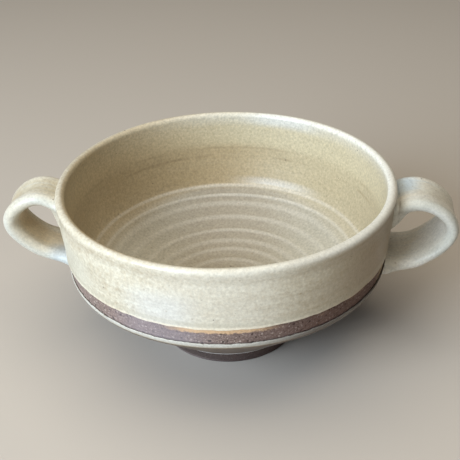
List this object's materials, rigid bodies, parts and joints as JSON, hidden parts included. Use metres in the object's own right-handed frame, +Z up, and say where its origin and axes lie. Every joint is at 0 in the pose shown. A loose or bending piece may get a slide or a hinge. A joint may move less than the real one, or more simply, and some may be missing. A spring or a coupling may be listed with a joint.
{
  "type": "handled soup bowl",
  "caption": "Wheel-thrown stoneware soup bowl with a straight glazed wall, bare clay band, conical base on a turned foot ring, and loop handles on opposite sides.",
  "frame": {"origin": "middle of the foot ring's resting face, on the axis the bowl was thrown about", "axes": "+X towards the larger (right) handle, +Z up along the throwing axis, -Y is the side facing the picture's camera"},
  "size_m": [0.1796, 0.13, 0.069],
  "materials": {
    "bare_stoneware": "unglazed, fine grog",
    "handle_glaze": "satin glaze, thin on the edges",
    "oatmeal_glaze": "satin glaze with small iron specks"
  },
  "bodies": {
    "root": {"stoneware_body": "bare_stoneware", "left_handle": "handle_glaze", "right_handle": "handle_glaze", "upper_glaze_coat": "oatmeal_glaze", "lower_glaze_band": "oatmeal_glaze"}
  },
  "joints": []
}
